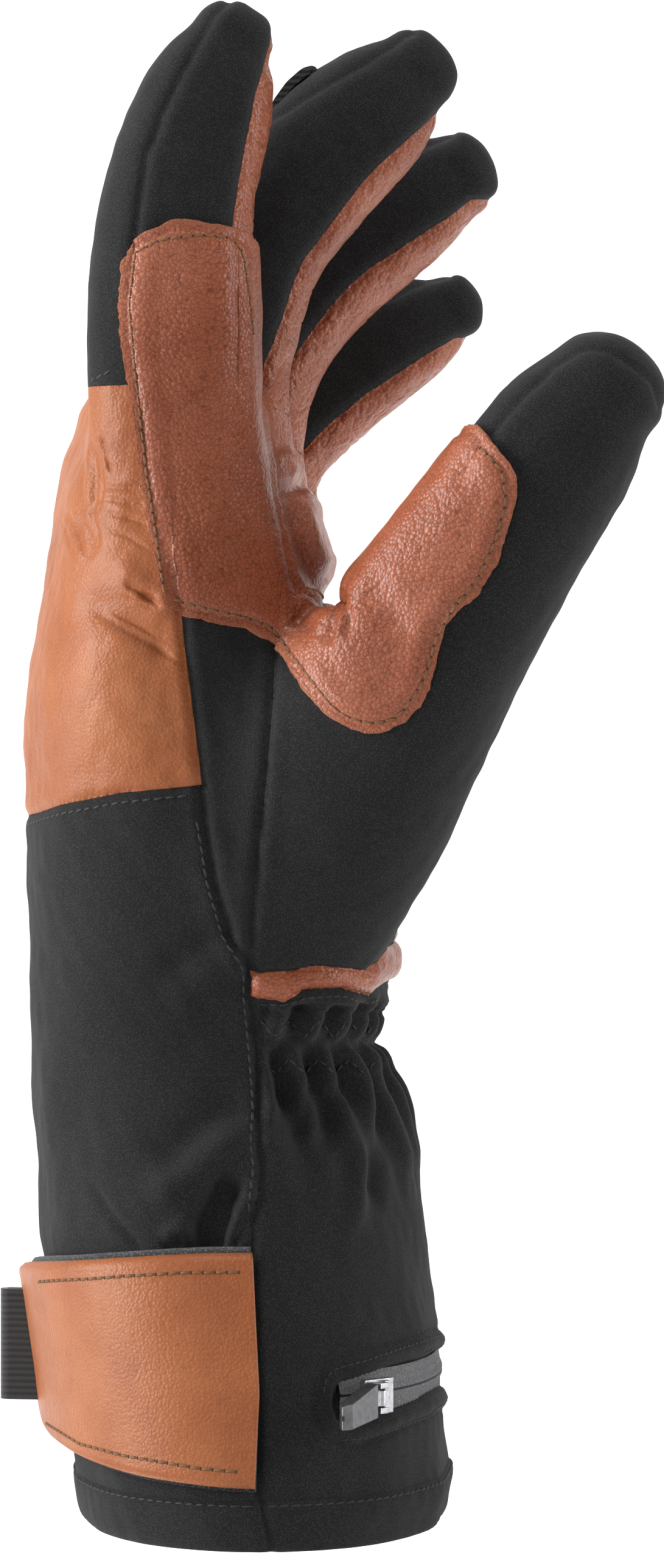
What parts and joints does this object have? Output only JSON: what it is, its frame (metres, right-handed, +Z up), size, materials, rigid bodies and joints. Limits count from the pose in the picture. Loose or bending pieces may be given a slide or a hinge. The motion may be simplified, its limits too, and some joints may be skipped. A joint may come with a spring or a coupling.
{
  "type": "heated glove",
  "caption": "Left-hand padded cloth and leather gauntlet glove worn upright, with a patched thumb fork, strapped cuff and zipped palm-side pocket.",
  "frame": {"origin": "centre of the open cuff in the plane of its hem", "axes": "+Z up from the cuff to the fingertips, +X from the back of the hand to the palm, -Y to the thumb side"},
  "size_m": [0.1295, 0.1292, 0.2913],
  "materials": {
    "cloth": "matt plain-weave shell cloth",
    "tan_leather": "soft grain leather, satin",
    "brown_leather": "soft grain leather, satin",
    "webbing": "ribbed webbing",
    "zip_tape": "woven zip tape",
    "dark_metal": "dark gunmetal coat",
    "bright_metal": "polished"
  },
  "bodies": {
    "glove": {"index_shell": "cloth", "index_strip": "brown_leather", "middle_shell": "cloth", "middle_strip": "brown_leather", "ring_shell": "cloth", "ring_strip": "brown_leather", "little_shell": "cloth", "little_strip": "brown_leather", "thumb_shell": "cloth", "knuckle_leather": "tan_leather", "hand_back_panel": "cloth", "thumb_side_gusset": "cloth", "little_side_gusset": "cloth", "palm_leather": "brown_leather", "wrist_band": "brown_leather", "cuff_panel": "cloth", "hem_band": "cloth", "fork_patch": "brown_leather", "strap_backing": "webbing", "strap": "tan_leather", "strap_tab": "webbing", "zip_tape": "zip_tape", "zip_teeth": "dark_metal", "finger_loop": "webbing", "zip_slider": "bright_metal"},
    "puller": {"zip_puller": "dark_metal"}
  },
  "joints": [
    {"name": "puller_hinge", "type": "hinge", "parent": "glove", "child": "puller", "pos_m": [0.02238, -0.05224, 0.0283], "axis": [0, 0, 1], "range_deg": [-12, 150]}
  ]
}
